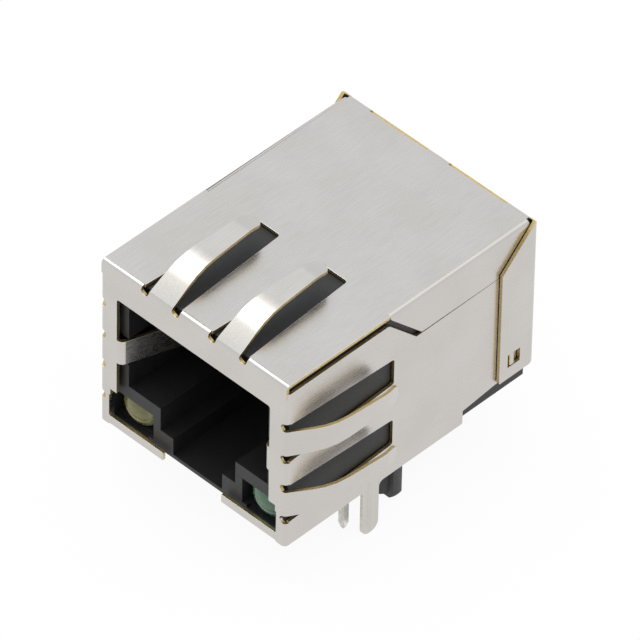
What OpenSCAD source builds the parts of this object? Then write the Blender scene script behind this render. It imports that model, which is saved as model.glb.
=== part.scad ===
// Single-port board jack for an eight-contact network plug: a folded shield over a moulded
// housing, with eight contact springs, two indicator lamps and a transformer module inside.
//
// X runs across the jack and Y from the face to the back. Z is up from the board. The origin is
// on the board, midway between the two plastic pegs. The modules below measure depth from the
// outside of the shield's face, and seated() moves them to the origin.

/* [Shield] */
// Width over the side panels
shield_w = 15.9; // [15.4:0.1:17]
// Length from the face to the rear cover
shield_l = 21.3; // [21:0.1:24]
// Height of the roof above the board
shield_h = 13.3; // [13:0.1:14.5]
// Thickness of the sheet
sheet_t = 0.25; // [0.15:0.01:0.3]
// Outer radius of every fold
fold_r = 0.35; // [0.3:0.01:0.4]
// Gap between the roof's free edge and the side panel below it
corner_gap = 0.4; // [0.2:0.05:0.6]
// How far the roof's free edges stay inside the side panels
roof_inset = 0.1; // [0:0.05:0.3]
// Height at which the raised rear part of each side panel's lower edge starts
side_step_h = 1.05; // [0.5:0.05:1.2]
// How far that part rises toward the back
side_step_rise = 0.35; // [0:0.05:0.4]
// Length of that raised rear part
side_step_l = 5.9; // [4:0.05:8]

/* [Roof flanges] */
// Depth at which the roof starts to fold down over the sides
flange_start = 8.85; // [8.5:0.05:10]
// Height of the folded flange
flange_h = 3; // [2:0.1:3.4]
// Run of the flange's slanted front edge
flange_slant = 2.7; // [1.5:0.1:3]
// Gap along the flange's slanted front edge
flange_gap = 0.14; // [0.1:0.02:0.3]
// Gap along the flange's lower edge
flange_seam = 0.08; // [0.04:0.01:0.15]

/* [Rear cover] */
// Length of the tabs that wrap forward over the side panels
tab_l = 3.05; // [2.5:0.05:3.3]
// Height of the rear cover's lower edge above the board
tab_bottom = 1.55; // [1:0.05:2]
// Gap between a tab and the side panel that it covers
tab_gap = 0.04; // [0.02:0.01:0.1]
// Side of the square catch window in each tab
window_s = 1.05; // [0.7:0.05:1.2]
// Height of the window's middle above the board
window_z = 3; // [2.6:0.05:4]
// Distance of the window's middle from the back
window_back = 1.8; // [1.4:0.05:2]
// Width of each bridge that joins the roof and the rear cover
bridge_w = 1.8; // [1:0.1:2.5]
// How far the cover's edge between the bridges stays below the roof
bridge_drop = 0.23; // [0.2:0.01:0.3]
// Radius of the tabs' lower rear corners
tab_corner_r = 0.5; // [0.3:0.05:0.8]

/* [Face opening] */
// Width of the frame at each side of the plug opening
jamb_w = 1.45; // [1.25:0.05:1.65]
// Depth of the frame above the opening
brow_h = 2.45; // [2.2:0.05:2.8]
// Width of the frame at each side of the lamp windows
lamp_jamb_w = 0.8; // [0.65:0.05:1.05]
// Height of the lamp windows' upper edge
lamp_window_top = 3; // [2.8:0.05:3.2]
// Height of the two rails below the lamp windows
rail_h = 0.75; // [0.5:0.05:0.9]
// Gap between the two rails
rail_gap = 5; // [4.4:0.1:6]
// How far the rails stay above the board
rail_lift = 0.1; // [0:0.02:0.2]

/* [Spring fingers] */
// Distance between the two fingers on the roof
top_finger_pitch = 5.7; // [5:0.1:6.2]
// Depth of the upper side finger below the roof
side_finger_drop = 4.75; // [4.5:0.05:4.9]
// Distance between the two fingers on each side
side_finger_pitch = 5.05; // [4.6:0.05:5.2]
// Width of a finger at its root
finger_w = 2; // [1.6:0.05:2.2]
// Width of a finger before its round tip
finger_tip_w = 1.3; // [1:0.05:1.5]
// Width of the slots beside a finger's root
finger_slot = 0.62; // [0.4:0.02:0.8]
// Width of the window at a finger's tip
finger_window_w = 2.05; // [1.7:0.05:2.4]
// Depth at which a finger's window ends
finger_window_end = 9.2; // [8.8:0.1:9.6]
// Length of a finger's part that stays in the face
finger_foot_l = 0.9; // [0.8:0.05:1.1]
// Slope at which a finger leaves the face
finger_slope = 32; // [20:1:40]
// Length of a finger's straight root
finger_rise_l = 1.5; // [1:0.1:2]
// Length of the bend from the root to the crown
finger_bend_l = 2.6; // [2:0.1:3]
// Length of a finger's flat crown
finger_crown_l = 2.9; // [2:0.1:3.2]
// Angle by which a finger's end dips back to the panel
finger_dip = 16; // [8:1:20]
// Length of that end
finger_end_l = 0.75; // [0.5:0.05:1]
// How far a finger's slots run down the face
finger_notch = 0.5; // [0.4:0.05:0.8]

/* [Plug springs] */
// Height of the two springs that touch the plug's shell
spring_h = 1.9; // [1.4:0.1:2.6]
// Height of their middle above the board
spring_z = 6.5; // [6.25:0.05:7.5]
// Angle at which they lean into the opening
spring_lean = 19; // [10:1:22]
// Length of their straight part
spring_l = 4.2; // [3:0.1:4.6]
// Outer radius of the bend at their root
spring_bend_r = 0.5; // [0.4:0.05:0.6]

/* [Board] */
// Distance from the face to the middle of the pegs
peg_setback = 10.65; // [10:0.05:11.5]
// Distance from a side panel to the middle of the peg next to it
peg_inset = 2.235; // [2.05:0.005:2.45]
// Diameter of each peg over its ribs
peg_d = 2.9; // [2.5:0.05:3.1]
// Reach of the pegs below the board's face
peg_l = 3.6; // [2.6:0.1:4]
// Thickness of the four ribs along each peg
peg_rib_t = 0.77; // [0.5:0.01:1]
// Diameter of the peg's core between its ribs
peg_core_d = 2.05; // [1.6:0.05:2.3]
// Reach of the ground legs and signal pins below the board's face
leg_l = 3.8; // [2.8:0.1:4.5]
// Width of each ground leg
leg_w = 1.4; // [1:0.05:1.8]
// Distance from the face to the middle of the ground legs
leg_setback = 7.45; // [6.5:0.05:7.8]
// Side of the square signal pins
pin_s = 0.5; // [0.4:0.02:0.6]
// Distance between neighbouring pins across the jack
pin_step = 1.27; // [1.1:0.01:1.4]
// Distance from the back to the rear row of pins
pin_row_back = 1.76; // [1.6:0.02:2]
// Distance between the two rows of pins
pin_row_gap = 2.54; // [2.4:0.02:2.6]

/* [Housing] */
// Distance from the shield's face to the housing's face
face_setback = 0.5; // [0.3:0.05:0.6]
// Height of the housing's underside above the board
standoff = 0.25; // [0.15:0.05:0.4]
// Width of the room for the plug
cavity_w = 11.9; // [11.7:0.05:12.1]
// Height of the shelves over the lamps
shelf_z = 3.65; // [3.5:0.05:3.8]
// Thickness of the shelves
shelf_t = 1; // [0.7:0.05:1.1]
// Width of the latch channel between the shelves
latch_w = 6.4; // [6:0.1:6.6]
// Thickness of the walls between the latch channel and the lamps
latch_wall = 0.6; // [0.5:0.05:0.7]
// Width of the lowest step of the latch channel
latch_step_w = 4.2; // [3.6:0.1:5]
// Height of that lowest step
latch_step_z = 1.85; // [1.4:0.05:2.2]
// Thickness of the floor below the latch
floor_t = 0.3; // [0.2:0.05:0.5]

/* [Lamps] */
// Diameter of each lamp
lamp_d = 2.9; // [2.6:0.05:2.9]
// Distance from a side panel to the middle of the lamp next to it
lamp_inset = 2.4; // [2.35:0.01:2.45]
// Height of the lamps' middle above the board
lamp_z = 1.85; // [1.8:0.01:1.95]
// Length of the round body behind the dome
lamp_body_l = 2.05; // [1.6:0.05:2.6]
// Length of the dome
lamp_dome_l = 0.95; // [0.6:0.05:1.1]
// Depth at which the dome starts
lamp_setback = 1.4; // [1.4:0.02:1.6]
// Distance between the two leads of a lamp
lead_pitch = 2.54; // [2.2:0.02:2.6]
// Side of the square lamp leads
lead_s = 0.45; // [0.35:0.01:0.5]
// Depth at which the lamp leads turn down
lead_setback = 6.25; // [5.4:0.05:6.6]
// Reach of the lamp leads below the board's face
lead_l = 3.3; // [2.5:0.1:3.7]

/* [Contacts] */
// Distance between neighbouring contacts
contact_pitch = 1.02; // [0.98:0.01:1.04]
// Width of each contact wire
contact_w = 0.36; // [0.3:0.01:0.4]
// Thickness of each contact wire
contact_t = 0.28; // [0.2:0.01:0.32]
// Downward slope of the sprung part
contact_slope = 18; // [12:1:20]
// Depth of the front bend
contact_front = 4.3; // [3.9:0.05:4.6]

// Height of the wires above the ceiling of the plug's room
wire_lift = 0.6; // [0.4:0.05:0.7]
// Radius of a wire's bends
wire_r = 0.5; // [0.4:0.05:0.6]
// How far a wire passes below the circuit board
wire_tail = 0.4; // [0.2:0.05:0.6]
// Width of the carrier beside the outer contacts
carrier_edge = 0.4; // [0.3:0.05:0.6]
// How far the carrier reaches over the front bends
carrier_lip = 0.9; // [0.6:0.05:1.2]

/* [Module] */
// Length of the room behind the plug for the module
module_l = 6.4; // [6.2:0.1:6.8]
// Thickness of the housing's walls beside and above the module
module_wall = 0.75; // [0.6:0.05:0.8]
// Thickness of the carrier's wall between the plug and the module
carrier_wall = 1.35; // [1:0.05:1.6]
// Thickness of the circuit board
board_t = 0.8; // [0.6:0.1:1]
// Height of the circuit board's underside
board_z = 8; // [7.6:0.1:8.4]
// Thickness of the tray's walls
tray_wall = 0.8; // [0.6:0.05:0.9]
// Thickness of the tray's floor
tray_floor = 2.1; // [1.6:0.1:2.4]
// Gap between neighbouring windings
core_gap = 0.18; // [0.1:0.02:0.4]
// Inner diameter of the ring cores
core_bore = 1.3; // [1:0.1:1.4]
// Thickness of the ring cores
core_t = 1.1; // [0.8:0.05:1.2]
// Thickness of the winding round each core
winding_t = 0.16; // [0.1:0.02:0.18]

/* [Hidden] */
$fn = 48;
CONTACTS = 8;
PINS = 8;
CORES = 4;

nickel = [0.77, 0.76, 0.73];
black_resin = [0.12, 0.12, 0.13];
gold = [0.83, 0.66, 0.25];
tin = [0.74, 0.74, 0.73];
ferrite = [0.3, 0.3, 0.32];
copper = [0.72, 0.4, 0.2];
laminate = [0.1, 0.38, 0.22];
lamp_yellow = [0.62, 0.6, 0.22];
lamp_green = [0.22, 0.5, 0.33];

arc_step = 10;      // largest turn between two points of a fold
fit = 0.03;         // clearance round a piece that is pressed in
slack = 0.05;       // clearance round a piece that slides in
past = 1;           // how far a cutter runs past what it cuts

half_w = shield_w / 2;
opening_half = half_w - jamb_w;
lamp_windows_half = half_w - lamp_jamb_w;
lamp_x = half_w - lamp_inset;
tab_front = shield_l - tab_l;
side_top = shield_h - sheet_t - corner_gap;
flange_low = shield_h - flange_h;
tab_half_w = half_w + tab_gap + sheet_t;

housing_half = half_w - sheet_t - slack;
housing_top = shield_h - sheet_t - slack;
housing_back = shield_l - sheet_t - slack;
ceiling_z = shield_h - brow_h + 2 * slack;
module_front = housing_back - module_l;
cavity_l = module_front - slack - carrier_wall;
module_half = housing_half - module_wall;
module_top = housing_top - module_wall;
tray_half = module_half - slack;
tray_back = housing_back - 4 * slack;
core_pitch = 2 * (tray_half - tray_wall - slack) / CORES;
core_d = core_pitch - core_gap - 2 * winding_t;
floor_top = standoff + floor_t;
wire_z = ceiling_z + wire_lift;
tail_y = module_front + tray_wall + contact_t;

// ---- Plan and path helpers ----

// Extrudes a plan of (depth, height) across the jack from x0 to x1.
module along_x(x0, x1) translate([x0, 0, 0]) rotate([90, 0, 90]) linear_extrude(x1 - x0) children();
// Extrudes a plan of (x, height) from depth y0 to depth y1.
module along_y(y0, y1) translate([0, y1, 0]) rotate([90, 0, 0]) linear_extrude(y1 - y0) children();
// Extrudes a plan of (x, depth) from height z0 to height z1.
module along_z(z0, z1) translate([0, 0, z0]) linear_extrude(z1 - z0) children();
// A box given by its two corners.
module block(a, b) translate(a) cube(b - a);
module both_sides() {
    children();
    mirror([1, 0, 0]) children();
}
module seated() translate([0, -peg_setback, 0]) children();

function unit(v) = v / norm(v);
function bearing(v) = atan2(v[1], v[0]);
function flip(points) = [for (i = [len(points) - 1:-1:0]) points[i]];
function mirrored(points) = concat(points, [for (p = flip(points)) [-p[0], p[1], p[2]]]);

// The points that round corner c, between the corners p and n, with radius r.
function corner(p, c, n, r) =
    r == 0 ? [c] :
    let (
        u = unit(p - c),
        w = unit(n - c),
        half = acos(u * w) / 2,
        centre = c + unit(u + w) * r / sin(half),
        from = bearing(c + u * r / tan(half) - centre),
        to = bearing(c + w * r / tan(half) - centre),
        sweep = (to - from + 540) % 360 - 180,
        steps = ceil(abs(sweep) / arc_step)
    )
    [for (i = [0:steps]) let (a = from + sweep * i / steps) centre + r * [cos(a), sin(a)]];

// A polygon whose points are [x, y, radius of that corner].
module rounded(points) {
    count = len(points);
    flat = [for (p = points) [p[0], p[1]]];
    polygon([for (i = [0:count - 1])
        each corner(flat[(i + count - 1) % count], flat[i], flat[(i + 1) % count], points[i][2])]);
}

// A run of sheet or wire is a list of legs [length, turn]. This cuts every leg into short steps.
function steps_of(legs) = [for (leg = legs)
    let (n = max(1, ceil(abs(leg[1]) / arc_step))) for (i = [1:n]) leg / n];
// Walks the steps from point p at heading a, and returns [x, y, heading] at each stop.
function walk(steps, p, a, i = 0) =
    i == len(steps) ? [[p[0], p[1], a]] :
    let (mid = a + steps[i][1] / 2)
    concat([[p[0], p[1], a]], walk(steps, p + steps[i][0] * [cos(mid), sin(mid)], a + steps[i][1], i + 1));
function arc_l(r, turn) = r * abs(turn) * PI / 180;

// The edge-on outline of a bent strip: the path is its left side, and thickness t is on its right.
module strip(legs, start, heading, t) {
    stops = walk(steps_of(legs), start, heading);
    near = [for (s = stops) [s[0], s[1]]];
    far = [for (s = stops) [s[0] + t * sin(s[2]), s[1] - t * cos(s[2])]];
    polygon(concat(near, flip(far)));
}

// ---- Shield ----

finger_crown_slope = 2;
finger_legs = [
    [finger_foot_l - fold_r, 0],
    [arc_l(fold_r, 90 - finger_slope), finger_slope - 90],
    [finger_rise_l, 0],
    [finger_bend_l, finger_crown_slope - finger_slope],
    [finger_crown_l, 0],
    [finger_end_l, -finger_dip],
    [finger_end_l, 0]
];
finger_start = [0, -finger_foot_l];
finger_stops = walk(steps_of(finger_legs), finger_start, 90);
finger_end = finger_stops[len(finger_stops) - 1][0];

// A spring finger that stands on a panel's outside at height 0, and is rooted in the face at
// depth 0. Its tip is round.
module finger() {
    tip_r = finger_tip_w / 2;
    intersection() {
        along_x(-finger_w / 2, finger_w / 2) strip(finger_legs, finger_start, 90, sheet_t);
        along_z(-fold_r - finger_foot_l, shield_h) {
            polygon([
                [-finger_w / 2, -past], [finger_w / 2, -past], [finger_w / 2, fold_r],
                [tip_r, finger_end - tip_r], [-tip_r, finger_end - tip_r], [-finger_w / 2, fold_r]
            ]);
            translate([0, finger_end - tip_r]) circle(tip_r);
        }
    }
}

// What is cut from the panel and from the face round one finger.
module finger_window() {
    root_half = finger_w / 2 + finger_slot;
    end_half = finger_window_w / 2;
    notch_r = finger_slot / 2;
    along_z(-fold_r, past) rounded([
        [-root_half, -past, 0], [root_half, -past, 0],
        [end_half, finger_window_end, 0.2], [-end_half, finger_window_end, 0.2]
    ]);
    both_sides() translate([finger_w / 2 + notch_r, 0, 0]) {
        along_y(-past, fold_r) translate([0, notch_r - finger_notch]) circle(notch_r);
        block([-notch_r, -past, notch_r - finger_notch], [notch_r, fold_r, 0]);
    }
}

// Places a finger or its window at each of the six positions.
module at_fingers() {
    for (side = [-1, 1]) translate([side * top_finger_pitch / 2, 0, shield_h]) children();
    both_sides() for (row = [0, 1])
        translate([half_w, 0, shield_h - side_finger_drop - row * side_finger_pitch])
            rotate([0, 90, 0]) children();
}

// The face and both side panels are one strip, folded at the two front corners.
module wrap() {
    top_slope = (flange_h - sheet_t) / flange_slant;
    slope_start = flange_start - flange_gap;
    seam_z = flange_low - flange_seam;
    closed_seam_z = flange_low - flange_seam / 4;
    side_end = shield_l - fold_r - slack;
    step_at = shield_l - side_step_l;
    inner_r = fold_r - sheet_t;
    intersection() {
        along_z(0, shield_h) difference() {
            rounded(mirrored([[half_w, side_end, 0], [half_w, 0, fold_r]]));
            rounded(mirrored([
                [half_w - sheet_t, side_end + past, 0], [half_w - sheet_t, sheet_t, inner_r]
            ]));
        }
        along_x(-shield_w, shield_w) rounded([
            [-past, 0, 0], [step_at, 0, 0.1], [step_at, side_step_h, 0],
            [tab_front, side_step_h + side_step_rise, 0], [side_end, side_step_h + side_step_rise, 0],
            [side_end, closed_seam_z, 0], [tab_front, closed_seam_z, 0],
            [slope_start + (side_top - seam_z) / top_slope, seam_z, 0.15],
            [slope_start, side_top, 0.3], [-past, side_top, 0]
        ]);
    }
}

// The roof, its fold into the face, and its free edges in front of the flanges.
module roof() {
    roof_legs = [
        [2 * fold_r, 0],
        [arc_l(fold_r, 90), -90],
        [shield_l - 2 * fold_r, 0]
    ];
    start = [0, shield_h - 3 * fold_r];
    along_x(fold_r - half_w, half_w - fold_r) strip(roof_legs, start, 90, sheet_t);
    intersection() {
        along_x(roof_inset - half_w, half_w - roof_inset) strip(roof_legs, start, 90, sheet_t);
        block([-shield_w, -past, 0], [shield_w, flange_start, shield_h + past]);
    }
}

// The roof folds down over each side panel behind flange_start.
module flange() {
    flange_legs = [[fold_r, 0], [arc_l(fold_r, 90), -90], [flange_h, 0]];
    rear_low = tab_front - flange_gap / 2;
    rear_high = rear_low + flange_h - fold_r;
    intersection() {
        along_y(flange_start, shield_l) strip(flange_legs, [half_w - 2 * fold_r, shield_h], 0, sheet_t);
        along_x(0, shield_w) rounded([
            [flange_start, shield_h + past, 0], [flange_start, shield_h - sheet_t, 0],
            [flange_start + flange_slant, flange_low, 0.1], [rear_low, flange_low, 0],
            [rear_high, shield_h - fold_r, 0], [rear_high, shield_h + past, 0]
        ]);
    }
}

// The rear cover and its two tabs, which wrap forward over the side panels.
module rear_cover() {
    corner_r = 0.3;
    corner_drop = tab_l - corner_r;
    inner_half = tab_half_w - sheet_t;
    bridge_start = shield_l - 2 * fold_r;
    bridge_legs = [[fold_r, 0], [arc_l(fold_r, 90), -90], [fold_r, 0]];
    bridges = [fold_r - half_w, -bridge_w / 2, half_w - fold_r - bridge_w];
    difference() {
        intersection() {
            along_z(tab_bottom, shield_h) difference() {
                rounded(mirrored([[tab_half_w, tab_front, 0], [tab_half_w, shield_l, fold_r]]));
                rounded(mirrored([
                    [inner_half, tab_front - past, 0], [inner_half, shield_l - sheet_t, fold_r - sheet_t]
                ]));
            }
            along_x(-shield_w, shield_w) rounded([
                [tab_front, tab_bottom, 0.1], [shield_l, tab_bottom, tab_corner_r],
                [shield_l, shield_h, corner_r],
                [tab_front + corner_drop, shield_h, 0], [tab_front, shield_h - corner_drop, 0]
            ]);
        }
        // Between the bridges the cover's edge stays just below the roof.
        block([fold_r - half_w, tab_front, shield_h - bridge_drop],
            [half_w - fold_r, shield_l + past, shield_h + past]);
        for (x = bridges)
            block([x, tab_front, shield_h - fold_r], [x + bridge_w, shield_l + past, shield_h + past]);
        both_sides() translate([half_w, shield_l - window_back, window_z])
            block([0, -window_s / 2, -window_s / 2], [past, window_s / 2, window_s / 2]);
    }
    for (x = bridges)
        along_x(x, x + bridge_w) strip(bridge_legs, [bridge_start, shield_h], 0, sheet_t);
}

// A lance of the side panel that clicks into the tab's window.
module catch_bump() {
    lance_l = window_s * 0.42;
    front_gap = window_s * 0.18;
    lance_h = window_s - 2 * tab_gap;
    y = shield_l - window_back - window_s / 2 + front_gap;
    translate([half_w - sheet_t, y, window_z - lance_h / 2]) along_z(0, lance_h) rounded([
        [0, 0, 0], [2 * sheet_t, 0, sheet_t / 2], [2 * sheet_t, lance_l, sheet_t / 2], [0, lance_l, 0]
    ]);
}

// The front outline of everything that opens the face.
module face_opening() {
    along_y(-past, 2 * fold_r) {
        rounded(mirrored([
            [rail_gap / 2, -past, 0], [rail_gap / 2, rail_h, 0.08], [lamp_windows_half, rail_h, 0.15],
            [lamp_windows_half, lamp_window_top, 0.1], [opening_half, lamp_window_top, 0.05],
            [opening_half, shield_h - brow_h, 0.18]
        ]));
        translate([-lamp_windows_half, -past]) square([2 * lamp_windows_half, past + rail_lift]);
    }
}

// Each plug spring is cut from the face and folded back into the opening.
module plug_spring() {
    lean_in = 90 - spring_lean;
    along_z(spring_z - spring_h / 2, spring_z + spring_h / 2) strip([
            [sheet_t, 0], [arc_l(spring_bend_r, lean_in), -lean_in], [spring_l, 0], [0.8, -45], [0.4, 0]
        ], [opening_half + sheet_t, 0], 180, sheet_t);
}

// A ground leg with a pressed rib down its middle and a round tip.
module ground_leg() {
    leg_half = leg_w / 2;
    flare = leg_w / 4;
    tip_r = leg_half * 0.9;
    rib_r = leg_w / 4;
    rib_out = rib_r * 0.4;
    rib_top = leg_half;
    rib_low = leg_half - leg_l;
    translate([0, leg_setback, 0]) {
        along_x(half_w - sheet_t, half_w) rounded(mirrored([
            [leg_half, -leg_l, tip_r], [leg_half, 0, flare], [leg_half + flare, 0, 0],
            [leg_half + flare, flare, 0]
        ]));
        intersection() {
            translate([half_w + rib_out - rib_r, 0, 0]) {
                translate([0, 0, rib_low]) cylinder(r = rib_r, h = rib_top - rib_low);
                for (z = [rib_low, rib_top]) translate([0, 0, z]) sphere(r = rib_r);
            }
            block([half_w - sheet_t, -leg_w, -leg_l], [half_w + past, leg_w, shield_h]);
        }
    }
}

module shield() color(nickel) seated() {
    difference() {
        union() {
            wrap();
            roof();
        }
        face_opening();
        at_fingers() finger_window();
    }
    at_fingers() finger();
    rear_cover();
    both_sides() {
        flange();
        catch_bump();
        plug_spring();
        ground_leg();
    }
}

// ---- Housing ----

// A lamp's round body and shallow dome, with a gap all round it.
module lamp_form(gap) rotate_extrude() {
    r = lamp_d / 2 + gap;
    square([r, lamp_body_l + gap]);
    intersection() {
        scale([1, (lamp_dome_l + gap) / r]) circle(r);
        translate([0, -r]) square([r, r + fit]);
    }
}

module at_lamp() translate([lamp_x, lamp_setback, lamp_z]) rotate([-90, 0, 0]) children();

// The lamp's window in the housing's face, its bore, and the slots for its two leads.
module lamp_room(side) {
    inner = latch_w / 2 + latch_wall;
    outer = lamp_windows_half + slack;
    sill = rail_h - 0.1;
    sill_cut = 0.2;
    mirror([side < 0 ? 1 : 0, 0, 0]) {
        block([inner, 0, sill], [outer, lamp_setback, shelf_z - shelf_t]);
        block([inner + 2 * sill_cut, -past, sill - sill_cut],
            [outer, lamp_setback - face_setback, sill + past]);
        at_lamp() lamp_form(slack);
        for (x = [lamp_x - lead_pitch / 2, lamp_x + lead_pitch / 2])
            block([x - lead_s / 2 - slack, lamp_setback + lamp_body_l - past, -past],
                [x + lead_s / 2 + slack, lead_setback + lead_s / 2 + slack, lamp_z + lead_s / 2 + slack]);
    }
}

// Pocket in the cavity's wall that lets a plug spring move.
module spring_pocket() {
    reach = opening_half + 2 * sheet_t;
    room = spring_h / 2 + 3 * slack;
    block([cavity_w / 2 - past, 0, spring_z - room], [reach, spring_l + past, spring_z + room]);
}

// A round peg that is chamfered at its lower end.
module pointed(d) {
    chamfer = 0.3;
    translate([0, 0, chamfer - peg_l]) cylinder(d = d, h = peg_l - chamfer + floor_top);
    translate([0, 0, -peg_l]) cylinder(d1 = d - 2 * chamfer, d2 = d, h = chamfer);
}

// A locating peg: a round core with four ribs that the board's hole squeezes.
module peg() translate([half_w - peg_inset, peg_setback, 0]) {
    pointed(peg_core_d);
    intersection() {
        pointed(peg_d);
        union() for (turn = [0, 90]) rotate([0, 0, turn])
            block([-peg_d, -peg_rib_t / 2, -peg_l], [peg_d, peg_rib_t / 2, floor_top]);
    }
}

// Everything that the plug and its latch pass through.
module plug_room() {
    block([-cavity_w / 2, 0, shelf_z], [cavity_w / 2, module_front + past, ceiling_z]);
    block([-latch_w / 2, 0, latch_step_z], [latch_w / 2, cavity_l, shelf_z + past]);
    block([-latch_step_w / 2, 0, floor_top], [latch_step_w / 2, cavity_l, latch_step_z + past]);
}

// The outer block, with round edges where the folds of the shield pass it.
module housing_body() {
    edge_r = fold_r - sheet_t + 0.1;
    intersection() {
        along_y(face_setback, housing_back) rounded([
            [-housing_half, standoff, 0], [housing_half, standoff, 0],
            [housing_half, housing_top, edge_r], [-housing_half, housing_top, edge_r]
        ]);
        along_x(-housing_half, housing_half) rounded([
            [face_setback, standoff, 0], [housing_back, standoff, 0],
            [housing_back, housing_top, edge_r], [face_setback, housing_top, 0]
        ]);
    }
}

carrier_half = CONTACTS * contact_pitch / 2 + carrier_edge;
carrier_front = contact_front - carrier_lip;
carrier_top = housing_top - carrier_edge / 2;

module housing() color(black_resin) seated() {
    difference() {
        housing_body();
        plug_room();
        lamp_room(-1);
        lamp_room(1);
        both_sides() spring_pocket();
        // Slot for the contact carrier, open to the back
        block([-carrier_half - slack, carrier_front - slack, ceiling_z - past],
            [carrier_half + slack, module_front + past, carrier_top + slack]);
        // Room for the module, open below and behind
        block([-module_half, module_front, 0], [module_half, shield_l, module_top]);
    }
    both_sides() peg();
}

// ---- Contacts ----

function contact_x(i) = (i - (CONTACTS + 1) / 2) * contact_pitch;

contact_slot = carrier_wall * 0.4;
contact_l = (cavity_l - contact_slot / 2 - contact_front) / cos(contact_slope);

// Comes up from the circuit board, runs forward above the ceiling, turns back on itself at the
// front and slopes down into the plug's room.
module contact(i) {
    x = contact_x(i);
    back = tail_y + contact_t / 2;
    wire_legs = [
        [wire_z + contact_t / 2 - wire_r - board_z + wire_tail, 0],
        [arc_l(wire_r, 90), 90],
        [back - 2 * wire_r - contact_front, 0],
        [arc_l(wire_r, 180 - contact_slope), 180 - contact_slope],
        [contact_l, 0]
    ];
    color(gold) seated() along_x(x - contact_w / 2, x + contact_w / 2)
        strip(wire_legs, [back, board_z - wire_tail], 90, -contact_t);
}

// The carrier: a shelf above the wires with a comb that keeps them apart, and the cavity's back
// wall with a slot for each free end.
module contact_carrier() color(black_resin) seated() {
    shelf_low = wire_z + contact_t / 2 + fit;
    comb_low = wire_z - contact_t - wire_lift / 3;
    slot_half = contact_w / 2 + slack;
    wall_half = cavity_w / 2 - slack;
    back = module_front - slack;
    low = shelf_z + slack;
    difference() {
        union() {
            block([-carrier_half, carrier_front, comb_low], [carrier_half, back, carrier_top]);
            block([-carrier_half, cavity_l, low], [carrier_half, back, carrier_top]);
            block([-wall_half, cavity_l, low], [wall_half, back, ceiling_z - slack]);
        }
        for (i = [1:CONTACTS]) translate([contact_x(i), 0, 0]) {
            block([-slot_half, contact_front - wire_r, comb_low - past],
                [slot_half, back + past, shelf_low]);
            block([-slot_half, cavity_l - past, low + past],
                [slot_half, cavity_l + contact_slot, shelf_low]);
        }
    }
}

// ---- Module ----

function pin_x(i) = (i - (PINS + 1) / 2) * pin_step;
function pin_y(i) = shield_l - pin_row_back - (i % 2 == 1 ? pin_row_gap : 0);

module pin_holes(z0, z1) {
    hole = pin_s / 2 + fit;
    for (i = [1:PINS]) translate([pin_x(i), pin_y(i), 0]) block([-hole, -hole, z0], [hole, hole, z1]);
}

module module_tray() color(black_resin) seated() difference() {
    tray_front = module_front + slack;
    tail_room = 2 * wire_tail;
    block([-tray_half, tray_front, standoff], [tray_half, tray_back, board_z]);
    block([tray_wall - tray_half, tray_front + tray_wall + contact_t * 2, standoff + tray_floor],
        [tray_half - tray_wall, tray_back - tray_wall * 0.6, board_z + past]);
    block([-carrier_half, tail_y - wire_tail, board_z - tail_room],
        [carrier_half, tail_y + wire_tail, board_z + past]);
    pin_holes(0, board_z);
}

module module_board() color(laminate) seated() difference() {
    block([-tray_half, module_front + slack, board_z], [tray_half, tray_back, board_z + board_t]);
    pin_holes(board_z - past, board_z + board_t + past);
    for (i = [1:CONTACTS]) translate([contact_x(i), tail_y, board_z - past])
        cylinder(d = norm([contact_w, contact_t]) + 2 * fit, h = board_t + 2 * past);
}

// A straight square pin, pointed at its lower end.
module square_pin(s, z_low, z_high) {
    point = s;
    translate([0, 0, z_low + point]) linear_extrude(z_high - z_low - point) square(s, center = true);
    translate([0, 0, z_low]) rotate([0, 0, 45])
        cylinder(d1 = s * 0.7, d2 = s * sqrt(2), h = point, $fn = 4);
}

module signal_pin(i) color(tin) seated()
    translate([pin_x(i), pin_y(i), 0]) square_pin(pin_s, -leg_l, board_z + board_t + pin_s);

core_y = shield_l - pin_row_back - pin_row_gap / 2;
core_z = standoff + tray_floor + core_d / 2 + winding_t;
function core_x(i) = (i - (CORES + 1) / 2) * core_pitch;

module at_core(i) seated() translate([core_x(i), core_y, core_z]) rotate([90, 0, 0]) children();

module core(i) color(ferrite) at_core(i) difference() {
    cylinder(d = core_d, h = core_t, center = true);
    cylinder(d = core_bore, h = core_t + past, center = true);
}

// The winding covers all but a short arc at the core's top.
module winding(i) color(copper) at_core(i) rotate([0, 0, 105]) rotate_extrude(angle = 330) difference() {
    translate([core_bore / 2 - winding_t, -core_t / 2 - winding_t])
        square([(core_d - core_bore) / 2 + 2 * winding_t, core_t + 2 * winding_t]);
    translate([core_bore / 2, -core_t / 2]) square([(core_d - core_bore) / 2, core_t]);
}

// ---- Lamps ----

module lamp(side) seated() mirror([side < 0 ? 1 : 0, 0, 0]) at_lamp() lamp_form(0);

module lamp_lead(side, i) {
    x = side * lamp_x + (i * 2 - 3) * lead_pitch / 2;
    turn_r = 0.7;
    back = lamp_setback + lamp_body_l + fit;
    color(tin) seated() {
        along_x(x - lead_s / 2, x + lead_s / 2) strip([
                [lead_setback + lead_s / 2 - turn_r - back, 0],
                [arc_l(turn_r, 90), -90],
                [lamp_z + lead_s / 2 - turn_r + lead_l - lead_s, 0]
            ], [back, lamp_z + lead_s / 2], 0, lead_s);
        translate([x, lead_setback, -lead_l]) rotate([0, 0, 45])
            cylinder(d1 = lead_s * 0.7, d2 = lead_s * sqrt(2), h = lead_s, $fn = 4);
    }
}

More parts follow.
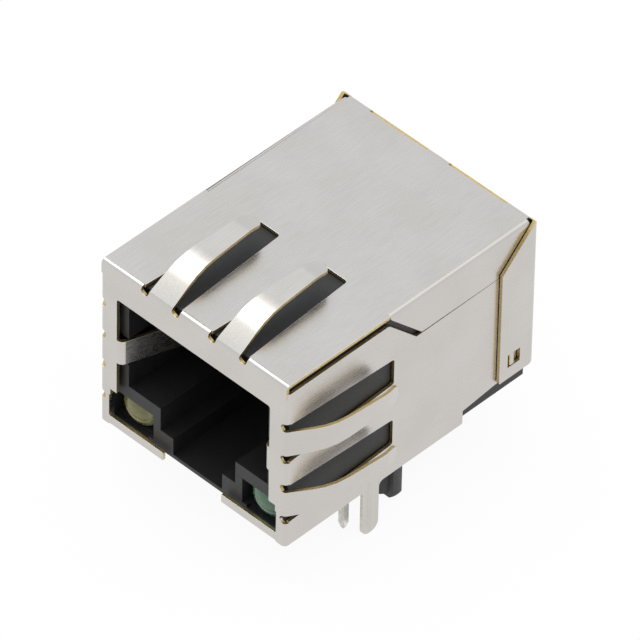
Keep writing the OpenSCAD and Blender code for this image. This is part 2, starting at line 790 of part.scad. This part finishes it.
shield();
housing();
contact_carrier();
module_tray();
module_board();
color(lamp_yellow) lamp(-1);  // led_left
color(lamp_green) lamp(1);  // led_right
for (i = [1:CONTACTS]) contact(i);
for (i = [1:PINS]) signal_pin(i);
for (i = [1:2]) lamp_lead(-1, i);
for (i = [1:2]) lamp_lead(1, i);
for (i = [1:CORES]) core(i);
for (i = [1:CORES]) winding(i);
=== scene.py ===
# %% [markdown]
# # A board jack, dressed from its CAD solids
#
# A board jack is a small folded metal shield over a black moulded housing. The CAD model already
# holds every solid at its real size, so this lesson only dresses them: it gives each piece the
# finish of its real material, rebuilds the few pieces whose solids are simpler than the real ones,
# and sets up a plain white studio. Everything is in metres, in the frame of the CAD model.

import bmesh
import bpy
import math
from mathutils import Matrix, Vector
from mathutils.bvhtree import BVHTree


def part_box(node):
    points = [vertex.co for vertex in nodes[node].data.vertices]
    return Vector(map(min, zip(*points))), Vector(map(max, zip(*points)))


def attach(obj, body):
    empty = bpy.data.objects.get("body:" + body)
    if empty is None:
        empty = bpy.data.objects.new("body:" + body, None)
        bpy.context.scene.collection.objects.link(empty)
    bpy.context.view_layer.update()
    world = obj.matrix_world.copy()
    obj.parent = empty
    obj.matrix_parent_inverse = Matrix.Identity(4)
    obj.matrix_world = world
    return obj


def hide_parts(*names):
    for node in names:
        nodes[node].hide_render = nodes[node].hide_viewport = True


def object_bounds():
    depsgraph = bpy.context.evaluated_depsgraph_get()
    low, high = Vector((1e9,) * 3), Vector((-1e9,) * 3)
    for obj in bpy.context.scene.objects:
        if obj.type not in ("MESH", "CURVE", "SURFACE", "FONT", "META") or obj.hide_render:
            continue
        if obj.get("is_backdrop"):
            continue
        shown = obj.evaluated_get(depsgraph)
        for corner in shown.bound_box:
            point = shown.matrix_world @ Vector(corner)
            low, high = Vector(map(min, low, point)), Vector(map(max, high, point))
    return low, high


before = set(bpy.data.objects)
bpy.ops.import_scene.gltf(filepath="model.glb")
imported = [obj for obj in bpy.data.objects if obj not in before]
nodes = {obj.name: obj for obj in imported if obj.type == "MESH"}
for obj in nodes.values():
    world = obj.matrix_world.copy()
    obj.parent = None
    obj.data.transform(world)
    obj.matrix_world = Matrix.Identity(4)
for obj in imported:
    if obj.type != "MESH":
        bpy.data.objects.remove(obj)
cad_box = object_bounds()
MM = 0.001
print("CAD nodes:", len(nodes))

# %% [markdown]
# ## Two small helpers
#
# Colours are easiest to pick as hex values on a screen, but a renderer adds up light, so it wants
# linear numbers. One function turns the first into the second. Materials are built from nodes, and
# a second function adds one node with its settings and its links, so that a material reads as a
# list of what feeds what.

# %% Colours and nodes
def linear(hex_colour):
    """An sRGB hex colour such as "#c8c2bb" as linear red, green, blue and alpha."""
    channels = [int(hex_colour[i:i + 2], 16) / 255 for i in (1, 3, 5)]
    return [c / 12.92 if c <= 0.04045 else ((c + 0.055) / 1.055) ** 2.4 for c in channels] + [1.0]


def add(tree, kind, settings=None, **inputs):
    """Adds a node. An input is a plain value, or the socket that feeds it."""
    made = tree.nodes.new(kind)
    for name, value in (settings or {}).items():
        setattr(made, name, value)
    for name, value in inputs.items():
        key = int(name[1:]) if name[0] == "i" and name[1:].isdigit() else name.replace("_", " ")
        if isinstance(value, bpy.types.NodeSocket):
            tree.links.new(value, made.inputs[key])
        else:
            made.inputs[key].default_value = value
    return made


print("white is", linear("#ffffff")[:3])

# %% [markdown]
# ## The bench and the camera
#
# Small parts are shown on a white table from above one corner, through a long lens, so that
# parallel edges stay nearly parallel. The camera is placed by two angles and a distance from the
# middle of the jack. A long distance with a long lens gives that flat, catalogue look.

# %% Camera
AIM = Vector((0.214, 0.066, 6.594)) * MM   # the point in the middle of the view
AZIMUTH, ELEVATION, ROLL = 43.84, 43.56, 1.19
DISTANCE = 0.687
VIEW_WIDTH = 38.86 * MM                    # how much of the bench the view takes in
SENSOR = 36.0


def camera_turn(azimuth, elevation, roll):
    """The rotation of a camera that looks down at the jack from that corner."""
    a, e = math.radians(azimuth), math.radians(elevation)
    back = Vector((math.sin(a) * math.cos(e), -math.cos(a) * math.cos(e), math.sin(e)))
    right = Vector((math.cos(a), math.sin(a), 0))
    turn = Matrix((right, back.cross(right), back)).transposed()
    return turn @ Matrix.Rotation(math.radians(roll), 3, "Z")


lens = bpy.data.cameras.new("bench_camera")
lens.sensor_width = SENSOR
lens.lens = SENSOR * DISTANCE / VIEW_WIDTH
lens.clip_start, lens.clip_end = 0.01, 10
camera = bpy.data.objects.new("bench_camera", lens)
bpy.context.scene.collection.objects.link(camera)
turn = camera_turn(AZIMUTH, ELEVATION, ROLL)
camera.matrix_world = Matrix.Translation(AIM + turn.col[2] * DISTANCE) @ turn.to_4x4()
bpy.context.scene.camera = camera
bpy.context.scene.view_settings.view_transform = "Standard"
print("lens", round(lens.lens), "mm at", DISTANCE, "m")

# %% [markdown]
# ## A white table
#
# A catalogue picture has a white table with only a faint shadow. More light would wash out the
# metal, so the table itself does the work: where the camera or a mirror-like surface looks at it,
# most of what it shows is plain white, and the rest is a real matt surface that takes the shadow.

# %% Table
TABLE_HALF = 1.5
TABLE_WHITE = 0.93                         # how much of what the camera sees of it is plain white


def white_table_top():
    made = bpy.data.materials.new("matt_white_laminate_table")
    made.use_nodes = True
    tree = made.node_tree
    tree.nodes.clear()
    seen = add(tree, "ShaderNodeLightPath")
    mirrored = add(tree, "ShaderNodeMath", {"operation": "MAXIMUM"},
                   i0=seen.outputs["Is Camera Ray"], i1=seen.outputs["Is Glossy Ray"])
    through = add(tree, "ShaderNodeMath", {"operation": "MAXIMUM"},
                  i0=mirrored.outputs[0], i1=seen.outputs["Is Transmission Ray"])
    share = add(tree, "ShaderNodeMath", {"operation": "MULTIPLY"}, i0=through.outputs[0],
                i1=TABLE_WHITE)
    matt = add(tree, "ShaderNodeBsdfDiffuse", Color=linear("#f4f4f4"), Roughness=0.6)
    white = add(tree, "ShaderNodeEmission", Color=linear("#ffffff"), Strength=1.0)
    mixed = add(tree, "ShaderNodeMixShader", i0=share.outputs[0],
                i1=matt.outputs[0], i2=white.outputs[0])
    add(tree, "ShaderNodeOutputMaterial", Surface=mixed.outputs[0])
    return made


low = cad_box[0][2]
corners = [(x * TABLE_HALF, y * TABLE_HALF, low) for x, y in ((-1, -1), (1, -1), (1, 1), (-1, 1))]
table_mesh = bpy.data.meshes.new("table")
table_mesh.from_pydata(corners, [], [(0, 1, 2, 3)])
table_mesh.materials.append(white_table_top())
table = bpy.data.objects.new("table", table_mesh)
bpy.context.scene.collection.objects.link(table)
table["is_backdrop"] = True
print("table at", round(low / MM, 2), "mm")

# %% [markdown]
# ## Soft studio light
#
# Polished sheet shows whatever is around it, so the surroundings decide its colour. Here a large
# tent of soft light stands round the table: white near the horizon, a little darker on the way up,
# and brightest in a round panel overhead. Flat faces then stay calm, while every fold catches the
# panel as a thin bright line. One softbox high at the left adds a glint on the slopes facing it.

# %% Light tent
TENT_PANEL = 1.5                           # how bright the panel overhead is, where white is 1
TENT = ((0.0, "#d6d6d6"), (0.5, "#cdcfd2"), (0.73, "#c6cbd0"), (0.86, "#fffdf8"))   # by height


def light_tent():
    world = bpy.data.worlds.new("light_tent")
    bpy.context.scene.world = world
    world.use_nodes = True
    tree = world.node_tree
    tree.nodes.clear()
    direction = add(tree, "ShaderNodeTexCoord")
    height = add(tree, "ShaderNodeSeparateXYZ", Vector=direction.outputs["Generated"])
    cloth = add(tree, "ShaderNodeValToRGB", Fac=height.outputs["Z"])
    steps = cloth.color_ramp.elements
    while len(steps) < len(TENT):
        steps.new(0.5)
    for step, (position, colour) in zip(steps, TENT):
        step.position, step.color = position, linear(colour)
    lit = add(tree, "ShaderNodeBackground", Color=cloth.outputs["Color"], Strength=TENT_PANEL)
    backdrop = add(tree, "ShaderNodeBackground", Color=linear("#ffffff"), Strength=1.0)
    seen = add(tree, "ShaderNodeLightPath")
    mixed = add(tree, "ShaderNodeMixShader", i0=seen.outputs["Is Camera Ray"],
                i1=lit.outputs[0], i2=backdrop.outputs[0])
    add(tree, "ShaderNodeOutputWorld", Surface=mixed.outputs[0])


def softbox(name, toward, distance, size, power):
    """A square lamp in the direction `toward` from the jack, facing it."""
    light = bpy.data.lights.new(name, "AREA")
    light.size = size
    light.energy = power
    made = bpy.data.objects.new(name, light)
    bpy.context.scene.collection.objects.link(made)
    way = Vector(toward).normalized()
    made.location = AIM + way * distance
    made.rotation_euler = way.to_track_quat("Z", "Y").to_euler()


light_tent()
softbox("left_softbox", (-0.5, -0.02, 0.87), 0.6, 0.26, 0.5)

# %% [markdown]
# ## Where a pattern sits
#
# Every pattern below is laid out in the object's own coordinates, in metres, so it keeps its size
# and place from every side. A noise texture counts how many of its cells fit in one unit, so a
# grain of a known size needs a scale of one over that size.

# %% Patterns by size
def per(size_mm):
    """The texture scale that makes one cell this many millimetres wide."""
    return 1 / (size_mm * MM)


def grain(tree, size_mm, detail=2.0, stretch=(1, 1, 1)):
    """Noise whose cells are size_mm wide, drawn out along an axis by its stretch."""
    place = add(tree, "ShaderNodeTexCoord")
    laid = add(tree, "ShaderNodeMapping", Vector=place.outputs["Object"], Scale=[1 / s for s in stretch])
    return add(tree, "ShaderNodeTexNoise", Vector=laid.outputs[0], Scale=per(size_mm), Detail=detail)


def between(tree, value, low, high, from_low=0.35, from_high=0.65):
    """Spreads a noise value over the range low to high."""
    return add(tree, "ShaderNodeMapRange", Value=value, From_Min=from_low, From_Max=from_high,
               To_Min=low, To_Max=high).outputs[0]


def blended(tree, share, first, second):
    """A colour between two others. Each is a hex value, or the socket that gives it."""
    ends = [linear(c) if isinstance(c, str) else c for c in (first, second)]
    return add(tree, "ShaderNodeMix", {"data_type": "RGBA"}, i0=share, i6=ends[0], i7=ends[1]).outputs[2]


def finish(name, metallic=0.0, ior=1.5):
    """A new material: its node tree and its main shader."""
    made = bpy.data.materials.new(name)
    made.use_nodes = True
    tree = made.node_tree
    tree.nodes.clear()
    shader = add(tree, "ShaderNodeBsdfPrincipled", Metallic=metallic, IOR=ior)
    add(tree, "ShaderNodeOutputMaterial", Surface=shader.outputs[0])
    return made, tree, shader


def wire_up(tree, shader, colour, roughness, relief, depth_mm, strength):
    """Joins a material's colour, roughness and relief to its shader."""
    bump = add(tree, "ShaderNodeBump", Height=relief, Distance=depth_mm * MM, Strength=strength)
    for socket, source in (("Base Color", colour), ("Roughness", roughness), ("Normal", bump.outputs[0])):
        tree.links.new(source, shader.inputs[socket])


print("a 0.2 mm grain has a scale of", per(0.2))

# %% [markdown]
# ## The folded shield
#
# The shield is cut and folded from brass strip that was nickel plated before it was stamped. So
# its faces are satin nickel, and every cut edge shows the bare yellow brass. A single material
# can't know which face is an edge, so the mesh is copied and each face is measured instead: a ray
# goes in from the face, and where the metal behind it is thicker than the sheet, the face is a cut.
# A punch also pulls the sheet's edge round a little. That roll keeps its plating and catches light.
# The short strips over the slots at the rear are narrower than such a roll can follow, so they
# keep plain edges.
#
# The folds need care too. Plain smooth shading would bend the light over the flat panels as well,
# so the normals are set one by one: flat panels keep their own, and only the narrow steps of a fold
# are blended.

# %% Nickel-plated brass strip, rolled
def satin_nickel():
    """Electroplated nickel takes on the rolled strip below it: faint lines along the rolling."""
    made, tree, shader = finish("satin_nickel_plate_on_rolled_brass", metallic=1.0)
    lines = grain(tree, 0.14, 3, stretch=(1, 12, 1))         # real rolling lines are about 0.02 mm
    cloud = grain(tree, 3.5, 2)
    colour = blended(tree, between(tree, cloud.outputs[0], 0, 1), "#ccc8c4", "#c8c4bf")
    roughness = between(tree, lines.outputs[0], 0.25, 0.3)
    wire_up(tree, shader, colour, roughness, lines.outputs[0], depth_mm=0.002, strength=0.15)
    return made


def sheared_brass():
    """A punch leaves bare yellow brass, torn in fine lines through the sheet's thickness."""
    made, tree, shader = finish("sheared_brass_edge", metallic=1.0)
    tears = grain(tree, 0.1, 2)                              # real tears are about 0.03 mm apart
    colour = blended(tree, between(tree, tears.outputs[0], 0, 1), "#d9c491", "#bfa565")
    roughness = between(tree, tears.outputs[0], 0.3, 0.48)
    wire_up(tree, shader, colour, roughness, tears.outputs[0], depth_mm=0.006, strength=0.4)
    return made


def solder_dipped_end():
    """The legs are dipped in solder, which covers their cut edges with a soft grey skin."""
    made, tree, shader = finish("solder_dipped_leg_edge", metallic=1.0)
    skin = grain(tree, 0.3, 2)
    colour = blended(tree, between(tree, skin.outputs[0], 0, 1), "#cfcbc0", "#bdb9ad")
    wire_up(tree, shader, colour, between(tree, skin.outputs[0], 0.26, 0.38),
            skin.outputs[0], depth_mm=0.006, strength=0.3)
    return made


# %% Reading the folded sheet
SHEET = 0.25 * MM
CUT_DEPTH = 2.2                            # more metal than this many sheets behind a face is a cut
SOLDER_LINE = -0.3 * MM                    # the legs are dipped below this height
EDGE_ROLL = 0.035 * MM
STRIP_REACH = 1 * MM                       # the rear strips lie this close to the back
STRIP_HEIGHT = 0.8                         # and above this share of the shield's height
SAME_POINT = 1e-7                          # points this close are one, in metres
STEP_IN = 1e-6                             # a ray starts this far under the face it measures


def skin_of(node, name):
    """A copy of a CAD mesh with its doubled points joined, under a name of its own."""
    mesh = nodes[node].data.copy()
    mesh.name = name
    work = bmesh.new()
    work.from_mesh(mesh)
    bmesh.ops.remove_doubles(work, verts=work.verts, dist=SAME_POINT)
    work.to_mesh(mesh)
    work.free()
    mesh.materials.clear()
    made = bpy.data.objects.new(name, mesh)
    bpy.context.scene.collection.objects.link(made)
    return made


def panels_of(mesh, tolerance=0.3):
    """Joins neighbouring faces of one plane. Gives each face's panel, and the panels' areas and normals."""
    panel = list(range(len(mesh.polygons)))

    def root(i):
        while panel[i] != i:
            panel[i] = panel[panel[i]]
            i = panel[i]
        return i

    flat = math.cos(math.radians(tolerance))
    beside = {}
    for face in mesh.polygons:
        for key in face.edge_keys:
            other = beside.setdefault(key, face.index)
            if other != face.index and mesh.polygons[other].normal.dot(face.normal) > flat:
                panel[root(face.index)] = root(other)
    area, normal = {}, {}
    for face in mesh.polygons:
        home = panel[face.index] = root(face.index)
        area[home] = area.get(home, 0) + face.area
        normal[home] = normal.get(home, Vector()) + face.normal * face.area
    return panel, area, {home: n.normalized() for home, n in normal.items()}


def mark_cuts(mesh, thickest, dipped_below):
    """Gives material 1 to each panel that mostly has thicker metal behind it, and 2 low on the legs."""
    panel, area, _ = panels_of(mesh)
    solid = BVHTree.FromPolygons([v.co for v in mesh.vertices], [p.vertices for p in mesh.polygons])
    deep = {}
    for face in mesh.polygons:
        hit = solid.ray_cast(face.center - face.normal * STEP_IN, -face.normal)
        if hit[0] is not None and hit[3] > thickest:
            deep[panel[face.index]] = deep.get(panel[face.index], 0) + face.area
    for face in mesh.polygons:
        home = panel[face.index]
        cut = deep.get(home, 0) > area[home] / 2
        face.material_index = (2 if face.center.z < dipped_below else 1) if cut else 0
    return sum(face.material_index > 0 for face in mesh.polygons)


def roll_edges(mesh, radius):
    """Joins each flat face's triangles, then rounds the sheet's sharp edges, but not the rear strips."""
    work = bmesh.new()
    work.from_mesh(mesh)
    bmesh.ops.dissolve_limit(work, angle_limit=math.radians(0.2), verts=work.verts, edges=work.edges,
                             delimit={"MATERIAL"})
    rear = max(v.co.y for v in work.verts) - STRIP_REACH
    upper = max(v.co.z for v in work.verts) * STRIP_HEIGHT
    sharp = [e for e in work.edges
             if e.is_manifold and e.is_convex and e.calc_face_angle() > math.radians(60)
             and not all(v.co.y > rear and v.co.z > upper for v in e.verts)]
    bmesh.ops.bevel(work, geom=sharp, offset=radius, offset_type="OFFSET", segments=2, profile=0.5,
                    affect="EDGES", clamp_overlap=False, material=0)
    bmesh.ops.triangulate(work, faces=work.faces, ngon_method="EAR_CLIP")
    bmesh.ops.dissolve_degenerate(work, dist=2 * SAME_POINT, edges=work.edges)
    bmesh.ops.triangulate(work, faces=work.faces)
    work.to_mesh(mesh)
    work.free()
    return len(sharp)


def shade_folds(mesh, sharpest=32, larger=2.5):
    """Shades each panel flat, and a fold's narrow steps as one smooth curve between its panels.

    Panels that meet at more than `sharpest` degrees don't blend, and a panel more than `larger`
    times as big as a neighbour keeps its own direction where they meet.
    """
    panel, area, normal = panels_of(mesh)
    limit = math.cos(math.radians(sharpest))
    around = {}
    for face in mesh.polygons:
        for corner in face.vertices:
            around.setdefault(corner, set()).add(panel[face.index])
    shades = [Vector()] * len(mesh.loops)
    for face in mesh.polygons:
        own = panel[face.index]
        for loop in face.loop_indices:
            near = [p for p in around[mesh.loops[loop].vertex_index]
                    if p == own or normal[p].dot(normal[own]) > limit]
            most = max(area[p] for p in near)
            main = [p for p in near if area[p] * larger > most]
            shades[loop] = sum((normal[p] for p in main), Vector()).normalized()
    mesh.shade_smooth()
    mesh.normals_split_custom_set(shades)
    return len(area)


folded_shield = skin_of("shield", "folded_shield")
for material in (satin_nickel(), sheared_brass(), solder_dipped_end()):
    folded_shield.data.materials.append(material)
cut_count = mark_cuts(folded_shield.data, SHEET * CUT_DEPTH, SOLDER_LINE)
rolled = roll_edges(folded_shield.data, EDGE_ROLL)
panel_count = shade_folds(folded_shield.data)
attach(folded_shield, "root")
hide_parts("shield")
print("cut faces:", cut_count, "rolled edges:", rolled, "flat panels:", panel_count)

# %% [markdown]
# ## Glass-filled moulding
#
# The housing, the carrier and the module tray are one plastic: black PBT with glass fibre, which
# stands solder heat. The mould was spark eroded, so the faces have a fine matt grain. Moulded
# edges are never sharp. A small bevel modifier rounds them, and they catch the light.

# %% Black PBT with glass fibre, moulded
def moulded_black(name, dark, pale, relief):
    """Spark erosion leaves a fine matt grain, so the black looks soft grey where light grazes it."""
    made, tree, shader = finish(name, ior=1.57)
    sparks = grain(tree, 0.09, 3)                            # spark pits of about 0.03 mm, drawn coarser
    flow = grain(tree, 2.2, 2, stretch=(1, 1, 3))            # cloudy flow marks from the gate
    tint = add(tree, "ShaderNodeMath", {"operation": "ADD"},
               i0=between(tree, sparks.outputs[0], 0, 0.5), i1=between(tree, flow.outputs[0], 0, 0.5))
    colour = blended(tree, tint.outputs[0], dark, pale)
    roughness = between(tree, sparks.outputs[0], 0.46, 0.62)
    wire_up(tree, shader, colour, roughness, sparks.outputs[0], depth_mm=relief, strength=0.5)
    return made


def dress(node, material):
    """Gives a CAD node one finish in all its material slots."""
    mesh = nodes[node].data
    mesh.materials.clear()
    mesh.materials.append(material)


def soften(node, edge_mm, angle=40):
    """Joins the CAD mesh's doubled points, then rounds its sharp edges. Both are modifiers."""
    weld = nodes[node].modifiers.new("weld", "WELD")
    weld.merge_threshold = SAME_POINT
    bevel = nodes[node].modifiers.new("moulded_edges", "BEVEL")
    bevel.width = edge_mm * MM
    bevel.segments = 2
    bevel.limit_method = "ANGLE"
    bevel.angle_limit = math.radians(angle)


black = moulded_black("spark_grained_black_glass_filled_pbt", "#0d0d0e", "#1a1a1c", 0.004)
MOULDINGS = ("housing", "contact_carrier", "module_tray")
for node in MOULDINGS:
    dress(node, black)
    soften(node, 0.04)
print("black mouldings:", len(MOULDINGS))

# %% [markdown]
# ## Indicator lamps
#
# Each lamp is an LED cast in tinted epoxy, with a round head that fills its window in the face.
# The resin is cloudy and deep in tint. Where the head curves away at the rim it is painted paler,
# a painted glow standing in for light scattered at the edge, so the colour follows the distance
# from the lamp's own axis.

# %% Tinted cast epoxy
PAINTED_RIM_FROM, PAINTED_RIM_TO = 0.62, 1.02              # the painted rim glow sets in between these shares of the radius
PAINTED_RIM_SWIRL = 0.12 * MM                      # how far swirls in the resin move that line


def lamp_resin(name, node, deep, painted_rim_glow):
    """Cast in a polished cup: smooth and glossy, with light that spreads inside it."""
    made, tree, shader = finish(name, ior=1.53)
    low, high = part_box(node)
    axis_x, axis_z = (low[0] + high[0]) / 2, (low[2] + high[2]) / 2
    radius = (high[0] - low[0]) / 2
    place = add(tree, "ShaderNodeTexCoord")
    flat = add(tree, "ShaderNodeVectorMath", {"operation": "MULTIPLY"},
               i0=place.outputs["Object"], i1=(1, 0, 1))
    off = add(tree, "ShaderNodeVectorMath", {"operation": "DISTANCE"},
              i0=flat.outputs[0], i1=(axis_x, 0, axis_z))
    swirl = grain(tree, 0.8, 2)
    wavy = add(tree, "ShaderNodeMath", {"operation": "MULTIPLY_ADD"},
               i0=swirl.outputs[0], i1=PAINTED_RIM_SWIRL, i2=off.outputs["Value"])
    # How far into the painted rim glow a point is: paler towards the rim, as painted light at the edge
    edge = add(tree, "ShaderNodeMapRange", {"interpolation_type": "SMOOTHSTEP"}, Value=wavy.outputs[0],
               From_Min=radius * PAINTED_RIM_FROM, From_Max=radius * PAINTED_RIM_TO)
    colour = blended(tree, edge.outputs[0], deep, painted_rim_glow)
    haze = grain(tree, 0.5, 2)
    wire_up(tree, shader, colour, between(tree, haze.outputs[0], 0.16, 0.26),
            haze.outputs[0], depth_mm=0.004, strength=0.2)
    shader.inputs["Subsurface Weight"].default_value = 0.35
    shader.inputs["Subsurface Radius"].default_value = (0.5 * MM, 0.5 * MM, 0.3 * MM)
    shader.inputs["Subsurface Scale"].default_value = 1.0
    shader.inputs["Coat Weight"].default_value = 0.4
    shader.inputs["Coat Roughness"].default_value = 0.08
    return made


# Each lamp: its material, its deep resin colour, and the pale colour of its painted rim glow
LAMPS = {"led_left": ("cloudy_olive_yellow_epoxy_painted_rim_glow", "#5c591b", "#8b8c6b"),
         "led_right": ("cloudy_green_epoxy_painted_rim_glow", "#2c5a3f", "#668574")}
for node, (name, deep, painted_rim_glow) in LAMPS.items():
    dress(node, lamp_resin(name, node, deep, painted_rim_glow))
print("lamps:", list(LAMPS))

# %% [markdown]
# ## Contacts, pins and leads
#
# The contact springs are phosphor bronze with a thin gold flash, drawn to shape and bent. The pins
# and the lamps' leads end in hot-dipped tin, which is whiter and has a soft, uneven skin.

# %% Gold flash and hot-dipped tin
def gold_flash():
    """Gold over drawn bronze: bright, with faint draw lines along the wire."""
    made, tree, shader = finish("gold_flash_on_drawn_bronze", metallic=1.0)
    draw = grain(tree, 0.08, 2, stretch=(1, 10, 4))          # draw lines, coarser than the real 0.01 mm
    colour = blended(tree, between(tree, draw.outputs[0], 0, 1), "#ecd08a", "#d9b565")
    wire_up(tree, shader, colour, between(tree, draw.outputs[0], 0.16, 0.3),
            draw.outputs[0], depth_mm=0.003, strength=0.3)
    return made


def dipped_tin():
    """Solder dip leaves a rounded, slightly frosted skin with soft ripples."""
    made, tree, shader = finish("hot_dipped_tin", metallic=1.0)
    ripple = grain(tree, 0.25, 3, stretch=(1, 1, 2))
    colour = blended(tree, between(tree, ripple.outputs[0], 0, 1), "#dcdbd6", "#bfbdb7")
    wire_up(tree, shader, colour, between(tree, ripple.outputs[0], 0.24, 0.42),
            ripple.outputs[0], depth_mm=0.01, strength=0.5)
    return made


gold, tin = gold_flash(), dipped_tin()
contacts = [n for n in nodes if n.startswith("contact_") and n[8:].isdigit()]
tinned = [n for n in nodes if n.startswith("signal_pin_") or "_lead_" in n]
for node in contacts:
    dress(node, gold)
for node in tinned:
    dress(node, tin)
    soften(node, 0.03)
print("gold:", len(contacts), "tin:", len(tinned))

# %% [markdown]
# ## The transformer module
#
# Four ring cores sit in the tray behind the socket, each wound with fine enamelled wire, on a
# small circuit board. They are hidden under the shield, but the board and the rings show from
# below. The cores are pressed and sintered ferrite: dull, dark grey, with small pits.

# %% Laminate and ferrite
WEAVE = per(0.5) / 20                      # bands about 3 mm wide: the real weave's 0.5 mm wouldn't show


def masked_laminate():
    """Solder mask over woven glass: deep green, glossy, with the weave just showing through."""
    made, tree, shader = finish("solder_masked_glass_laminate", ior=1.52)
    place = add(tree, "ShaderNodeTexCoord")
    weave = []
    for direction in ("X", "Y"):
        bands = add(tree, "ShaderNodeTexWave", {"wave_type": "BANDS", "bands_direction": direction},
                    Vector=place.outputs["Object"], Scale=WEAVE, Distortion=0.4, Detail=1.0)
        weave.append(bands.outputs["Fac"])
    cloth = add(tree, "ShaderNodeMath", {"operation": "MULTIPLY"}, i0=weave[0], i1=weave[1])
    colour = blended(tree, cloth.outputs[0], "#12472c", "#1f6a42")
    wire_up(tree, shader, colour, between(tree, cloth.outputs[0], 0.22, 0.32, 0, 1),
            cloth.outputs[0], depth_mm=0.008, strength=0.3)
    return made


def sintered_ferrite():
    """Pressed oxide powder, fired: nearly black, matt, with pits where grains tore out."""
    made, tree, shader = finish("sintered_manganese_zinc_ferrite", ior=2.3)
    place = add(tree, "ShaderNodeTexCoord")
    pits = add(tree, "ShaderNodeTexVoronoi", Vector=place.outputs["Object"], Scale=per(0.16))
    # Darker towards the bottom of each pit: painted shade in the pits
    colour = blended(tree, between(tree, pits.outputs["Distance"], 0, 1, 0.1, 0.6), "#141415", "#333336")
    wire_up(tree, shader, colour, between(tree, pits.outputs["Distance"], 0.45, 0.7, 0, 0.7),
            pits.outputs["Distance"], depth_mm=0.02, strength=0.6)
    return made


ferrite = sintered_ferrite()
dress("module_board", masked_laminate())
soften("module_board", 0.03)
CORES = [n for n in nodes if n.startswith("core_")]
for node in CORES:
    dress(node, ferrite)
    soften(node, 0.06)
print("cores:", CORES)

# %% [markdown]
# ## Windings
#
# A winding is one long wire that goes through the ring and round its outside again and again. The
# CAD solid is only the space that it fills. Here the real turns are laid as one curve with a round
# section: each turn is a rounded rectangle round the ring's body, a little further along the ring.

# %% Enamelled copper wire
def enamelled_copper():
    """Copper seen through clear varnish: a warm orange-brown metal with a smooth glossy coat."""
    made, tree, shader = finish("enamelled_copper_wire", metallic=1.0)
    varnish = grain(tree, 0.3, 2)
    colour = blended(tree, between(tree, varnish.outputs[0], 0, 1), "#c0673a", "#9a4a26")
    wire_up(tree, shader, colour, between(tree, varnish.outputs[0], 0.2, 0.34),
            varnish.outputs[0], depth_mm=0.004, strength=0.2)
    shader.inputs["Coat Weight"].default_value = 0.6
    shader.inputs["Coat Roughness"].default_value = 0.12
    return made


WIRE_D = 0.14                              # millimetres
BORE = 1.3                                 # the ring's hole, in millimetres
TURNS = 14
GAP_ANGLE = 30                             # the part of the ring left bare between the wire's ends


def wound_ring(core, name):
    """The wire's path round a ring core whose axis lies along Y."""
    low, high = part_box(core)
    centre = (Vector(low) + Vector(high)) / 2
    outer = (high[0] - low[0]) / 2 + WIRE_D * MM / 2
    inner = (BORE - WIRE_D) / 2 * MM
    half = (high[1] - low[1]) / 2 + WIRE_D * MM / 2
    turn_points = [(outer, -0.8), (outer, 0.8), (outer * 0.97, 1), (inner * 1.05, 1),
                   (inner, 0.8), (inner, -0.8), (inner * 1.05, -1), (outer * 0.97, -1)]
    curve = bpy.data.curves.new(name, "CURVE")
    curve.dimensions = "3D"
    curve.bevel_depth = WIRE_D * MM / 2
    curve.bevel_resolution = 2
    curve.resolution_u = 3
    count = TURNS * len(turn_points)
    line = curve.splines.new("NURBS")
    line.points.add(count - 1)
    for i in range(count):
        radius, side = turn_points[i % len(turn_points)]
        angle = math.radians(90 + GAP_ANGLE / 2 + (360 - GAP_ANGLE) * i / (count - 1))
        line.points[i].co = (centre.x + radius * math.cos(angle), centre.y + half * side,
                             centre.z + radius * math.sin(angle), 1)
    line.order_u = 3
    line.use_endpoint_u = True
    made = bpy.data.objects.new(name, curve)
    bpy.context.scene.collection.objects.link(made)
    return made


copper = enamelled_copper()
for i, core in enumerate(sorted(CORES), start=1):
    winding = wound_ring(core, f"wire_turns_{i}")
    winding.data.materials.append(copper)
    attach(winding, "root")
    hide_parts(f"winding_{i}")
print("windings:", len(CORES), "of", TURNS, "turns")

# %% [markdown]
#
# The dressed jack must stay the size of the CAD jack, so both boxes are written down side by side.

# %% Sizes
size = {"cad": [list(corner) for corner in cad_box], "visual": [list(corner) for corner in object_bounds()]}
for label, (a, b) in size.items():
    print(label, [round((q - p) / MM, 3) for p, q in zip(a, b)], "mm")
